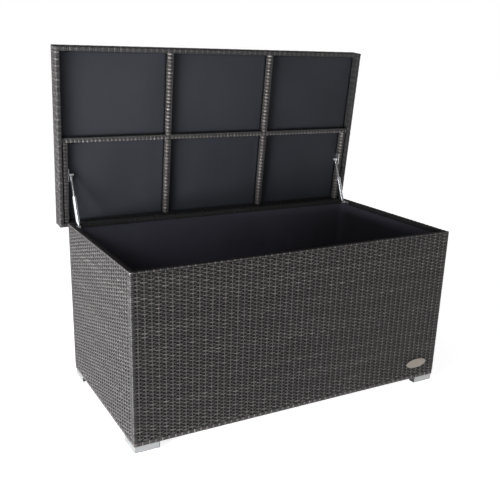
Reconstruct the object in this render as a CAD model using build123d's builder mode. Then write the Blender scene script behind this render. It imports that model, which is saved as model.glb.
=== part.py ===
from build123d import *
import math
import os

# Deck storage box: a woven skin on a tube frame, a fabric liner, and a lid on two gas struts. Millimetres.
# +X is to the right when facing the front, +Y points to the back, +Z is up, and the floor is Z = 0.
# The lid is drawn open, held by its struts.

# Body
BODY_W = 1300.0
BODY_D = 678.0
BODY_H = 604.0
FOOT_H = 23.0
GLIDE_H = 3.0
WEAVE_T = 4.0
TUBE = 15.0
TUBE_WALL = 1.2
WRAP_T = 1.7
WRAP_INSET = 1.0
RIM_ROUND = 1.2
GROOVE = 1.5
LINER_T = 1.5
LINER_GAP = 0.3
UPRIGHT_X = 221.5
SLAT_W = 30.0
HINGE_RAIL_H = 40.0

# Lid
LID_W = 1340.0
LID_D = 672.0
LID_T = 58.0
LID_GAP = 1.0
LID_BACK = 0.3
LID_SKIN = 3.0
LID_TUBE = 12.3
LID_TUBE_TOP = 54.0
LID_ROUND = 3.0
RIB_W = 20.0
RIB_LOW = 10.0
LONG_RIB_X = 221.5
CROSS_RIB_V = -336.0
SHORT_RIB_X = 639.0
FABRIC_LOW = 36.3
FABRIC_T = 1.5
OPEN_DEG = 84.5

# Hinges
HINGE_Y = 5.5
HINGE_DROP = 36.0
HINGE_XS = (-430.0, 0.0, 430.0)
KNUCKLE_R = 4.5
PIN_R = 2.0
LEAF_W = 52.0
LEAF_T = 2.0

# Gas struts
STRUT_X = 617.5
STRUT_Y = -35.0
STRUT_DROP = 10.0
STRUT_V = -203.0
STRUT_W = 22.0
CYLINDER_R = 7.5
CYLINDER_WALL = 1.1
CYLINDER_END = 118.0
ROD_R = 3.5
EYE_T = 6.0
STUD_R = 4.0
PLATE_T = 2.2
FIT = 0.05

# Badge and feet
BADGE_X = 552.0
BADGE_Z = 94.0
BADGE_W = 100.0
BADGE_H = 39.0
BADGE_T = 3.0
BADGE_ROUND = 1.8
FOOT_INSET = 4.0
FOOT_LEG = 88.0
FOOT_W = 27.0
FOOT_WALL = 2.0

OPEN = math.radians(OPEN_DEG)


def opened(y, z):
    """Moves a point of the closed lid to the open lid. Both are measured from the body's top back edge."""
    dy = y - HINGE_Y
    dz = z + HINGE_DROP
    return (
        HINGE_Y + dy * math.cos(OPEN) + dz * math.sin(OPEN),
        -HINGE_DROP - dy * math.sin(OPEN) + dz * math.cos(OPEN),
    )


# Heights and faces. The origin is under the middle of the open box's outline.
BASE_Z = GLIDE_H + FOOT_H
TOP_Z = BASE_Z + BODY_H
LID_REACH = opened(LID_BACK - LID_ROUND, LID_GAP + LID_T - LID_ROUND)[0] + LID_ROUND
BODY_Y = (BADGE_T - LID_REACH) / 2
FRONT = BODY_Y - BODY_D / 2
BACK = BODY_Y + BODY_D / 2
SIDE = BODY_W / 2
TUBE_IN = WEAVE_T + TUBE
WALL_IN = TUBE_IN + WRAP_T
TUBE_MID = WEAVE_T + TUBE / 2
BOTTOM_RAIL_Z = BASE_Z + WRAP_T
POST_LOW_Z = BOTTOM_RAIL_Z + TUBE
TOP_RAIL_Z = TOP_Z - WRAP_T - TUBE
WEAVE_LOW_Z = POST_LOW_Z + GROOVE
WEAVE_TOP_Z = TOP_Z - WRAP_T
FLANGE_LOW_Z = TOP_RAIL_Z - 1.3
HINGE_AXIS = (BACK + HINGE_Y, TOP_Z - HINGE_DROP)

# The lid's own plane: u to the right, v towards the hinge edge, w from its underside to its top.
lid_origin = opened(LID_BACK, LID_GAP)
LID = Plane(
    origin=(0, BACK + lid_origin[0], TOP_Z + lid_origin[1]),
    x_dir=(1, 0, 0),
    z_dir=(0, math.sin(OPEN), math.cos(OPEN)),
)
LID_SIDE = LID_W / 2
LID_TUBE_IN = LID_SKIN + LID_TUBE
LID_IN = LID_TUBE_IN + WRAP_T
WRAP_TOP = FABRIC_LOW - 0.3
HALF_RIB = RIB_W / 2
RIB_CORE = RIB_W - 2 * WRAP_T

# Strut pivots
FOOT_PIVOT = (BACK + STRUT_Y, TOP_Z - STRUT_DROP)
eye_open = opened(LID_BACK + STRUT_V, LID_GAP + STRUT_W)
EYE_PIVOT = (BACK + eye_open[0], TOP_Z + eye_open[1])
STRUT_LEN = math.dist(FOOT_PIVOT, EYE_PIVOT)
STRUT_RUN = EYE_PIVOT[0] - FOOT_PIVOT[0]
STRUT_RISE = EYE_PIVOT[1] - FOOT_PIVOT[1]
STRUT_DIR = Vector(0, STRUT_RUN / STRUT_LEN, STRUT_RISE / STRUT_LEN)


def block(x0, x1, y0, y1, z0, z1, plane=Plane.XY, mode=Mode.ADD):
    """A box between two corners, in the plane's own directions."""
    with BuildSketch(plane.offset(min(z0, z1))) as outline:
        with Locations(((x0 + x1) / 2, (y0 + y1) / 2)):
            Rectangle(abs(x1 - x0), abs(y1 - y0))
    extrude(outline.sketch, amount=abs(z1 - z0), mode=mode)


def tube(start, end, width, height, wall=TUBE_WALL, plane=Plane.XY):
    """A rectangular tube between two points of the plane, its height along the plane's normal."""
    a = plane.from_local_coords(Vector(*start))
    b = plane.from_local_coords(Vector(*end))
    along = (b - a).normalized()
    across = plane.z_dir.cross(along)
    if across.length < 0.5:
        across = plane.x_dir
    with BuildSketch(Plane(origin=a, x_dir=across, z_dir=along)) as section:
        Rectangle(width, height)
        Rectangle(width - 2 * wall, height - 2 * wall, mode=Mode.SUBTRACT)
    extrude(section.sketch, amount=(b - a).length)


def rod(start, direction, radius, length, bore=0.0, mode=Mode.ADD):
    """A round bar or sleeve from a point along a direction."""
    with BuildSketch(Plane(origin=start, z_dir=direction)) as section:
        Circle(radius)
        if bore:
            Circle(bore, mode=Mode.SUBTRACT)
    extrude(section.sketch, amount=length, mode=mode)


made = []


def keep(builder, name):
    """Labels a piece and writes it to its own file."""
    builder.part.label = name
    made.append(builder.part)
    export_step(builder.part, f"parts/{name}.step")


os.makedirs("parts", exist_ok=True)

# Screw places: where each head sits, its direction into the work, and the sizes of head and shank.
foot_screws_at = []
for sx in (-1, 1):
    for sy in (-1, 1):
        corner_x = sx * (SIDE - TUBE_MID)
        corner_y = BODY_Y + sy * (BODY_D / 2 - TUBE_MID)
        foot_screws_at.append(Vector(corner_x - sx * 50, corner_y, BASE_Z - FOOT_WALL))
        foot_screws_at.append(Vector(corner_x, corner_y - sy * 50, BASE_Z - FOOT_WALL))
hinge_screws_at = []
hinge_lid_screws_at = []
for x in HINGE_XS:
    for dx in (-15, 15):
        for dz in (-16, -32):
            hinge_screws_at.append(Vector(x + dx, BACK + LEAF_T, HINGE_AXIS[1] + dz))
        for w in (14, 34):
            hinge_lid_screws_at.append(LID.from_local_coords(Vector(x + dx, LEAF_T, w)))
lower_screws_at = []
upper_screws_at = []
RIB_FACE = SHORT_RIB_X - HALF_RIB
for sign in (-1, 1):
    for dy in (-14, -26):
        place = Vector(sign * (SIDE - WALL_IN - PLATE_T), FOOT_PIVOT[0] + dy, FOOT_PIVOT[1])
        lower_screws_at.append((place, sign))
    for dv in (-17, 17):
        place = LID.from_local_coords(Vector(sign * (RIB_FACE - PLATE_T), STRUT_V + dv, STRUT_W + 1))
        upper_screws_at.append((place, sign))
UP = Vector(0, 0, 1)
INTO_BACK = Vector(0, -1, 0)
INTO_LID = LID.y_dir * -1


def drill(places, direction, radius, depth):
    """Clears round holes for screws that start at these places."""
    for place in places:
        rod(place - direction * 0.1, direction, radius, depth, mode=Mode.SUBTRACT)


def screws(places, direction, head_r, head_t, shank_r, length):
    """Pan-head screws with their heads resting at these places."""
    for place in places:
        rod(place, direction * -1, head_r, head_t)
        rod(place, direction, shank_r, length)


# ---- Body frame ----
RAIL_X = SIDE - WEAVE_T
SIDE_RAIL_Y = BODY_D / 2 - TUBE_IN
for level, low in (("bottom", BOTTOM_RAIL_Z), ("top", TOP_RAIL_Z)):
    mid = low + TUBE / 2
    for side, y in (("front", FRONT + TUBE_MID), ("back", BACK - TUBE_MID)):
        with BuildPart() as rail:
            tube((-RAIL_X, y, mid), (RAIL_X, y, mid), TUBE, TUBE)
            if level == "bottom":
                drill([p for p in foot_screws_at if abs(p.Y - y) < 1], UP, 2.1, 8)
        keep(rail, f"{side}_{level}_rail")
    for side, sign in (("left", -1), ("right", 1)):
        x = sign * (SIDE - TUBE_MID)
        with BuildPart() as rail:
            tube((x, BODY_Y - SIDE_RAIL_Y, mid), (x, BODY_Y + SIDE_RAIL_Y, mid), TUBE, TUBE)
            if level == "bottom":
                inner = [p for p in foot_screws_at if abs(p.X - x) < 1]
                drill([p for p in inner if abs(p.Y - BODY_Y) < SIDE_RAIL_Y - 10], UP, 2.1, 8)
            else:
                drill([p for p, s in lower_screws_at if s == sign], Vector(sign, 0, 0), 1.6, 8)
        keep(rail, f"{side}_{level}_rail")

with BuildPart() as corner_posts:
    for x in (-SIDE + TUBE_MID, SIDE - TUBE_MID):
        for y in (FRONT + TUBE_MID, BACK - TUBE_MID):
            tube((x, y, POST_LOW_Z), (x, y, TOP_RAIL_Z), TUBE, TUBE)
keep(corner_posts, "corner_posts")

HINGE_RAIL_Z = HINGE_AXIS[1] - 24
HINGE_RAIL_LOW = HINGE_RAIL_Z - HINGE_RAIL_H / 2
POST_IN = SIDE - TUBE_IN
with BuildPart() as hinge_rail:
    y = BACK - TUBE_MID
    tube((-POST_IN, y, HINGE_RAIL_Z), (POST_IN, y, HINGE_RAIL_Z), TUBE, HINGE_RAIL_H)
    drill(hinge_screws_at, INTO_BACK, 2.1, 10)
keep(hinge_rail, "hinge_rail")

with BuildPart() as wall_uprights:
    for x in (-UPRIGHT_X, UPRIGHT_X):
        y = FRONT + TUBE_MID
        tube((x, y, POST_LOW_Z), (x, y, TOP_RAIL_Z), TUBE, TUBE)
        y = BACK - TUBE_MID
        tube((x, y, POST_LOW_Z), (x, y, HINGE_RAIL_LOW), TUBE, TUBE)
    for x in (-SIDE + TUBE_MID, SIDE - TUBE_MID):
        tube((x, BODY_Y, POST_LOW_Z), (x, BODY_Y, TOP_RAIL_Z), TUBE, TUBE)
keep(wall_uprights, "wall_uprights")

SLAT_Z = BOTTOM_RAIL_Z + TUBE / 2
SLAT_Y = BODY_D / 2 - WALL_IN
with BuildPart() as floor_slats:
    for x in (-2 * UPRIGHT_X, -UPRIGHT_X, 0, UPRIGHT_X, 2 * UPRIGHT_X):
        tube((x, BODY_Y - SLAT_Y, SLAT_Z), (x, BODY_Y + SLAT_Y, SLAT_Z), SLAT_W, TUBE)
keep(floor_slats, "floor_slats")

# ---- Woven skin of the body ----
for side, y, outward in (("front", FRONT, -Axis.Y), ("back", BACK - WEAVE_T, Axis.Y)):
    with BuildPart() as weave:
        block(-SIDE, SIDE, y, y + WEAVE_T, WEAVE_LOW_Z, WEAVE_TOP_Z)
        fillet(weave.faces().sort_by(outward)[-1].edges().filter_by(Axis.Z), 3.0)
        if side == "back":
            drill(hinge_screws_at, INTO_BACK, 2.1, 8)
    keep(weave, f"{side}_weave")
for side, x in (("left", -SIDE), ("right", SIDE - WEAVE_T)):
    with BuildPart() as weave:
        block(x, x + WEAVE_T, FRONT + WEAVE_T, BACK - WEAVE_T, WEAVE_LOW_Z, WEAVE_TOP_Z)
    keep(weave, f"{side}_weave")

# The rim and the bottom rail are wound with strand: four lengths each, butted at the corners.
SEAM = 0.2
with BuildPart() as top_rim_wrap:
    for sign in (-1, 1):
        outer = BODY_Y + sign * BODY_D / 2
        inner = BODY_Y + sign * (BODY_D / 2 - WALL_IN)
        flange = BODY_Y + sign * (BODY_D / 2 - TUBE_IN)
        block(-SIDE, SIDE, outer, inner, WEAVE_TOP_Z, TOP_Z)
        block(-POST_IN, POST_IN, flange, inner, FLANGE_LOW_Z, WEAVE_TOP_Z)
    reach = BODY_D / 2 - WALL_IN - SEAM
    for sign in (-1, 1):
        outer = sign * SIDE
        inner = sign * (SIDE - WALL_IN)
        flange = sign * (SIDE - TUBE_IN)
        block(outer, inner, BODY_Y - reach, BODY_Y + reach, WEAVE_TOP_Z, TOP_Z)
        block(flange, inner, BODY_Y - reach, BODY_Y + reach, FLANGE_LOW_Z, WEAVE_TOP_Z)
    fillet(top_rim_wrap.faces().filter_by(Axis.Z).group_by(Axis.Z)[-1].edges(), RIM_ROUND)
    for sign in (-1, 1):
        drill([p for p, s in lower_screws_at if s == sign], Vector(sign, 0, 0), 1.6, 5)
keep(top_rim_wrap, "top_rim_wrap")

with BuildPart() as bottom_rail_wrap:
    out = WRAP_INSET
    for sign in (-1, 1):
        outer = BODY_Y + sign * (BODY_D / 2 - out)
        skin = BODY_Y + sign * (BODY_D / 2 - WEAVE_T)
        inner = BODY_Y + sign * (BODY_D / 2 - WALL_IN)
        block(-SIDE + out, SIDE - out, outer, inner, BASE_Z, BOTTOM_RAIL_Z)
        block(-SIDE + out, SIDE - out, outer, skin, BOTTOM_RAIL_Z, POST_LOW_Z)
    reach = BODY_D / 2 - WALL_IN - SEAM
    skin_reach = BODY_D / 2 - WEAVE_T - SEAM
    for sign in (-1, 1):
        outer = sign * (SIDE - out)
        skin = sign * (SIDE - WEAVE_T)
        inner = sign * (SIDE - WALL_IN)
        block(outer, inner, BODY_Y - reach, BODY_Y + reach, BASE_Z, BOTTOM_RAIL_Z)
        block(outer, skin, BODY_Y - reach, BODY_Y + reach, BOTTOM_RAIL_Z, POST_LOW_Z)
    drill(foot_screws_at, UP, 2.1, 5)
keep(bottom_rail_wrap, "bottom_rail_wrap")

# ---- Liner: an open fabric bag that stands on the slats ----
LINER_X = SIDE - TUBE_IN - LINER_GAP
LINER_Y = BODY_D / 2 - TUBE_IN - LINER_GAP
LINER_TOP_Z = FLANGE_LOW_Z - LINER_GAP
with BuildPart() as liner:
    block(-LINER_X, LINER_X, BODY_Y - LINER_Y, BODY_Y + LINER_Y, POST_LOW_Z + LINER_GAP, LINER_TOP_Z)
    offset(amount=-LINER_T, openings=liner.faces().sort_by(Axis.Z)[-1])
keep(liner, "liner")

# ---- Blank oval badge ----
with BuildPart() as badge:
    with BuildSketch(Plane(origin=(BADGE_X, FRONT, BADGE_Z), x_dir=(1, 0, 0), z_dir=(0, -1, 0))):
        Ellipse(BADGE_W / 2, BADGE_H / 2)
    extrude(amount=BADGE_T)
    fillet(badge.faces().sort_by(Axis.Y)[0].edges(), BADGE_ROUND)
keep(badge, "badge")

# ---- L-shaped aluminium feet with end plugs, glides and screws ----
FOOT_X = SIDE - FOOT_INSET
FOOT_Y = BODY_D / 2 - FOOT_INSET
CORNERS = [(sx, sy) for sx in (-1, 1) for sy in (-1, 1)]


def corner_block(corner, u0, u1, v0, v1, z0, z1, mode=Mode.ADD):
    """A box measured inwards from a foot's outer corner: u along X and v along Y."""
    sx, sy = corner
    block(
        sx * (FOOT_X - u0), sx * (FOOT_X - u1),
        BODY_Y + sy * (FOOT_Y - v0), BODY_Y + sy * (FOOT_Y - v1), z0, z1, mode=mode)


def both_legs(corner, u0, u1, v0, v1, z0, z1, mode=Mode.ADD):
    """The same box on each leg of the L."""
    corner_block(corner, u0, u1, v0, v1, z0, z1, mode=mode)
    corner_block(corner, v0, v1, u0, u1, z0, z1, mode=mode)


with BuildPart() as corner_feet:
    for corner in CORNERS:
        both_legs(corner, 0, FOOT_LEG, 0, FOOT_W, GLIDE_H, BASE_Z)
    nearest = [(sx * FOOT_X, BODY_Y + sy * FOOT_Y) for sx, sy in CORNERS]
    upright = corner_feet.edges().filter_by(Axis.Z)
    outer = [e for e in upright if min(math.dist((e.center().X, e.center().Y), p) for p in nearest) < 1]
    fillet(outer, 3.0)
    for corner in CORNERS:
        both_legs(corner, FOOT_WALL, FOOT_LEG, FOOT_WALL, FOOT_W - FOOT_WALL,
                  GLIDE_H + FOOT_WALL, BASE_Z - FOOT_WALL, mode=Mode.SUBTRACT)
    drill(foot_screws_at, UP, 2.1, 4)
keep(corner_feet, "corner_feet")

PLUG = FOOT_WALL + 0.1
with BuildPart() as foot_end_caps:
    for corner in CORNERS:
        end = FOOT_LEG
        both_legs(corner, end, end + 2, 0, FOOT_W, GLIDE_H, BASE_Z)
        both_legs(corner, end - 8, end, PLUG, FOOT_W - PLUG, GLIDE_H + PLUG, BASE_Z - PLUG)
        both_legs(corner, end + 0.8, end + 2, 4, FOOT_W - 4, GLIDE_H + 4, BASE_Z - 4, mode=Mode.SUBTRACT)
keep(foot_end_caps, "foot_end_caps")

with BuildPart() as foot_glides:
    for corner in CORNERS:
        corner_block(corner, 22, 66, 4, FOOT_W - 4, 0, GLIDE_H)
        corner_block(corner, 4, FOOT_W - 4, 34, 78, 0, GLIDE_H)
    fillet(foot_glides.edges().filter_by(Axis.Z), 3.0)
keep(foot_glides, "foot_glides")

with BuildPart() as foot_screws:
    screws(foot_screws_at, UP, 4.0, 2.4, 2.0, 7.5)
keep(foot_screws, "foot_screws")

# ---- Hinges on the back: a leaf on the wall and a leaf on the lid's edge ----
KNUCKLE = LEAF_W / 3 - 0.4
with BuildPart() as hinge_body_leaves:
    for x in HINGE_XS:
        axis_y, axis_z = HINGE_AXIS
        block(x - LEAF_W / 2, x + LEAF_W / 2, BACK, BACK + LEAF_T, axis_z - 42, axis_z - 6)
        for dx in (-LEAF_W / 3, LEAF_W / 3):
            left = x + dx - KNUCKLE / 2
            block(left, left + KNUCKLE, BACK, BACK + LEAF_T, axis_z - 6, axis_z)
            rod((left, axis_y, axis_z), (1, 0, 0), KNUCKLE_R, KNUCKLE)
            rod((left, axis_y, axis_z), (1, 0, 0), PIN_R, KNUCKLE, mode=Mode.SUBTRACT)
    drill(hinge_screws_at, INTO_BACK, 2.1, 3)
keep(hinge_body_leaves, "hinge_body_leaves")

with BuildPart() as hinge_lid_leaves:
    for x in HINGE_XS:
        left = x - KNUCKLE / 2
        block(left, left + KNUCKLE, 0, LEAF_T, -HINGE_DROP - LID_GAP, 2, plane=LID)
        block(x - LEAF_W / 2, x + LEAF_W / 2, 0, LEAF_T, 2, 44, plane=LID)
        rod((left, *HINGE_AXIS), (1, 0, 0), KNUCKLE_R, KNUCKLE)
        rod((left, *HINGE_AXIS), (1, 0, 0), PIN_R + FIT, KNUCKLE, mode=Mode.SUBTRACT)
    drill(hinge_lid_screws_at, INTO_LID, 2.1, 3)
keep(hinge_lid_leaves, "hinge_lid_leaves")

with BuildPart() as hinge_pins:
    for x in HINGE_XS:
        rod((x - LEAF_W / 2 - 1, *HINGE_AXIS), (1, 0, 0), PIN_R, LEAF_W + 2)
        for end in (-1, 1):
            rod((x + end * (LEAF_W / 2 + 1), *HINGE_AXIS), (end, 0, 0), PIN_R + 1.2, 1.2)
keep(hinge_pins, "hinge_pins")

with BuildPart() as hinge_body_screws:
    screws(hinge_screws_at, INTO_BACK, 3.6, 1.6, 2.0, 9)
keep(hinge_body_screws, "hinge_body_screws")

with BuildPart() as hinge_lid_screws:
    screws(hinge_lid_screws_at, INTO_LID, 3.6, 1.6, 2.0, 8)
keep(hinge_lid_screws, "hinge_lid_screws")

# ---- Lid frame ----
TUBE_LOW = WRAP_T
TUBE_TALL = LID_TUBE_TOP - TUBE_LOW
TUBE_W = (LID_TUBE_TOP + TUBE_LOW) / 2
for side, v in (("back", -LID_SKIN - LID_TUBE / 2), ("front", -LID_D + LID_SKIN + LID_TUBE / 2)):
    with BuildPart() as rail:
        reach = LID_SIDE - LID_SKIN
        tube((-reach, v, TUBE_W), (reach, v, TUBE_W), LID_TUBE, TUBE_TALL, plane=LID)
        if side == "back":
            drill(hinge_lid_screws_at, INTO_LID, 2.1, 9)
    keep(rail, f"lid_{side}_rail")
for side, sign in (("left", -1), ("right", 1)):
    u = sign * (LID_SIDE - LID_SKIN - LID_TUBE / 2)
    with BuildPart() as rail:
        tube((u, -LID_D + LID_TUBE_IN, TUBE_W), (u, -LID_TUBE_IN, TUBE_W), LID_TUBE, TUBE_TALL, plane=LID)
    keep(rail, f"lid_{side}_rail")

# Ribs: deep tubes under the weave, wound with strand below the fabric.
CORE_LOW = RIB_LOW + WRAP_T
CORE_MID = (CORE_LOW + LID_TUBE_TOP) / 2
HALF_CORE = RIB_CORE / 2
LONG_SPAN = (-LID_D + LID_TUBE_IN, -LID_TUBE_IN)
SHORT_SPAN = (CROSS_RIB_V + HALF_RIB, -LID_TUBE_IN)
CROSS_SPANS = (
    (-LID_SIDE + LID_TUBE_IN, -LONG_RIB_X - HALF_CORE),
    (-LONG_RIB_X + HALF_CORE, LONG_RIB_X - HALF_CORE),
    (LONG_RIB_X + HALF_CORE, LID_SIDE - LID_TUBE_IN),
)


def rib_core(start, end):
    """A deep rib tube between two points given as u and v."""
    tube((*start, CORE_MID), (*end, CORE_MID), RIB_CORE, LID_TUBE_TOP - CORE_LOW, plane=LID)


with BuildPart() as lid_long_ribs:
    for u in (-LONG_RIB_X, LONG_RIB_X):
        rib_core((u, LONG_SPAN[0]), (u, LONG_SPAN[1]))
keep(lid_long_ribs, "lid_long_ribs")
with BuildPart() as lid_cross_rib:
    for left, right in CROSS_SPANS:
        rib_core((left, CROSS_RIB_V), (right, CROSS_RIB_V))
keep(lid_cross_rib, "lid_cross_rib")
with BuildPart() as lid_short_ribs:
    for sign in (-1, 1):
        u = sign * SHORT_RIB_X
        rib_core((u, SHORT_SPAN[0]), (u, SHORT_SPAN[1]))
        drill([p for p, s in upper_screws_at if s == sign], Vector(sign, 0, 0), 1.6, 8)
keep(lid_short_ribs, "lid_short_ribs")


def wound(u0, u1, v0, v1, along_v):
    """The strand wound round one rib: a channel with its open side at the fabric."""
    block(u0, u1, v0, v1, RIB_LOW, WRAP_TOP, plane=LID)
    if along_v:
        block(u0 + WRAP_T, u1 - WRAP_T, v0, v1, CORE_LOW, WRAP_TOP, plane=LID, mode=Mode.SUBTRACT)
    else:
        block(u0, u1, v0 + WRAP_T, v1 - WRAP_T, CORE_LOW, WRAP_TOP, plane=LID, mode=Mode.SUBTRACT)


CROSS_V0 = CROSS_RIB_V - HALF_RIB
CROSS_V1 = CROSS_RIB_V + HALF_RIB
BAY_LOW = -LID_D + LID_IN
BAY_END = LID_SIDE - LID_IN
with BuildPart() as lid_rib_wraps:
    for u in (-LONG_RIB_X, LONG_RIB_X):
        wound(u - HALF_RIB, u + HALF_RIB, BAY_LOW, -LID_IN, True)
    block(-BAY_END, BAY_END, CROSS_RIB_V - HALF_CORE, CROSS_RIB_V + HALF_CORE,
          CORE_LOW, WRAP_TOP, plane=LID, mode=Mode.SUBTRACT)
    near = LONG_RIB_X - HALF_RIB - SEAM
    far = LONG_RIB_X + HALF_RIB + SEAM
    for left, right in ((-BAY_END, -far), (-near, near), (far, BAY_END)):
        wound(left, right, CROSS_V0, CROSS_V1, False)
    for u in (-SHORT_RIB_X, SHORT_RIB_X):
        wound(u - HALF_RIB, u + HALF_RIB, CROSS_V1 + SEAM, -LID_IN, True)
    for sign in (-1, 1):
        drill([p for p, s in upper_screws_at if s == sign], Vector(sign, 0, 0), 1.6, 5)
keep(lid_rib_wraps, "lid_rib_wraps")

# ---- Woven skin and wound rim of the lid ----
with BuildPart() as lid_top_weave:
    block(-LID_SIDE, LID_SIDE, -LID_D, 0, LID_TUBE_TOP, LID_T, plane=LID)
    fillet(lid_top_weave.faces().sort_by(Axis(LID.origin, LID.z_dir))[-1].edges(), LID_ROUND)
keep(lid_top_weave, "lid_top_weave")

with BuildPart() as lid_edge_weave:
    for v0, v1 in ((-LID_SKIN, 0), (-LID_D, -LID_D + LID_SKIN)):
        block(-LID_SIDE, LID_SIDE, v0, v1, TUBE_LOW, LID_TUBE_TOP, plane=LID)
    for u0 in (-LID_SIDE, LID_SIDE - LID_SKIN):
        low = -LID_D + LID_SKIN + SEAM
        block(u0, u0 + LID_SKIN, low, -LID_SKIN - SEAM, TUBE_LOW, LID_TUBE_TOP, plane=LID)
    drill(hinge_lid_screws_at, INTO_LID, 2.1, 6)
keep(lid_edge_weave, "lid_edge_weave")

INNER_U = LID_SIDE - LID_TUBE_IN
with BuildPart() as lid_rim_wrap:
    for v0, v1, in0, in1 in (
        (-LID_IN, 0, -LID_IN, -LID_TUBE_IN),
        (-LID_D, -LID_D + LID_IN, -LID_D + LID_TUBE_IN, -LID_D + LID_IN),
    ):
        block(-LID_SIDE, LID_SIDE, v0, v1, 0, WRAP_T, plane=LID)
        block(-INNER_U, INNER_U, in0, in1, WRAP_T, WRAP_TOP, plane=LID)
    low = -LID_D + LID_IN + SEAM
    high = -LID_IN - SEAM
    for sign in (-1, 1):
        block(sign * (LID_SIDE - LID_IN), sign * LID_SIDE, low, high, 0, WRAP_T, plane=LID)
        block(sign * (LID_SIDE - LID_IN), sign * INNER_U, low, high, WRAP_T, WRAP_TOP, plane=LID)
    ribs = [(u, HALF_CORE, -LID_D, 0) for u in (-LONG_RIB_X, LONG_RIB_X)]
    for u, half, v0, v1 in ribs + [(u, HALF_CORE, -60, 0) for u in (-SHORT_RIB_X, SHORT_RIB_X)]:
        block(u - half, u + half, v0, v1, CORE_LOW, WRAP_TOP, plane=LID, mode=Mode.SUBTRACT)
    block(-LID_SIDE, LID_SIDE, CROSS_RIB_V - HALF_CORE, CROSS_RIB_V + HALF_CORE,
          CORE_LOW, WRAP_TOP, plane=LID, mode=Mode.SUBTRACT)
keep(lid_rim_wrap, "lid_rim_wrap")

# ---- Fabric: six panels between the ribs ----
EDGE = 0.3
with BuildPart() as lid_fabric:
    outer_u = LID_SIDE - LID_TUBE_IN - EDGE
    near = LONG_RIB_X - HALF_CORE - EDGE
    far = LONG_RIB_X + HALF_CORE + EDGE
    rows = (
        (-LID_D + LID_TUBE_IN + EDGE, CROSS_RIB_V - HALF_CORE - EDGE, outer_u),
        (CROSS_RIB_V + HALF_CORE + EDGE, -LID_TUBE_IN - EDGE, SHORT_RIB_X - HALF_CORE - EDGE),
    )
    for v0, v1, end in rows:
        for u0, u1 in ((-end, -far), (-near, near), (far, end)):
            block(u0, u1, v0, v1, FABRIC_LOW, FABRIC_LOW + FABRIC_T, plane=LID)
keep(lid_fabric, "lid_fabric")

# ---- Strut brackets ----
PLATE_X = SIDE - WALL_IN - PLATE_T
with BuildPart() as strut_lower_brackets:
    for sign in (-1, 1):
        y, z = FOOT_PIVOT
        block(sign * PLATE_X, sign * (PLATE_X + PLATE_T), y - 33, y + 9, z - 6.5, z + 6.5)
        stud = PLATE_X - STRUT_X + EYE_T / 2 + 1
        rod((sign * PLATE_X, y, z), (-sign, 0, 0), STUD_R + 1.8, PLATE_X - STRUT_X - EYE_T / 2 - 0.4)
        rod((sign * PLATE_X, y, z), (-sign, 0, 0), STUD_R, stud)
        rod((sign * (PLATE_X - stud), y, z), (-sign, 0, 0), STUD_R + 2.5, 2.0)
        drill([p for p, s in lower_screws_at if s == sign], Vector(sign, 0, 0), 1.6, 3)
keep(strut_lower_brackets, "strut_lower_brackets")

with BuildPart() as strut_lower_screws:
    for sign in (-1, 1):
        screws([p for p, s in lower_screws_at if s == sign], Vector(sign, 0, 0), 3.0, 1.2, 1.5, 8)
keep(strut_lower_screws, "strut_lower_screws")

with BuildPart() as strut_upper_brackets:
    for sign in (-1, 1):
        u0 = sign * (RIB_FACE - PLATE_T)
        block(u0, sign * RIB_FACE, STRUT_V - 24, STRUT_V + 24, RIB_LOW + 1, WRAP_TOP - 1, plane=LID)
        drill([p for p, s in upper_screws_at if s == sign], Vector(sign, 0, 0), 1.6, 3)
keep(strut_upper_brackets, "strut_upper_brackets")

with BuildPart() as strut_upper_screws:
    for sign in (-1, 1):
        screws([p for p, s in upper_screws_at if s == sign], Vector(sign, 0, 0), 3.0, 0.3, 1.5, 8)
keep(strut_upper_screws, "strut_upper_screws")

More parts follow.
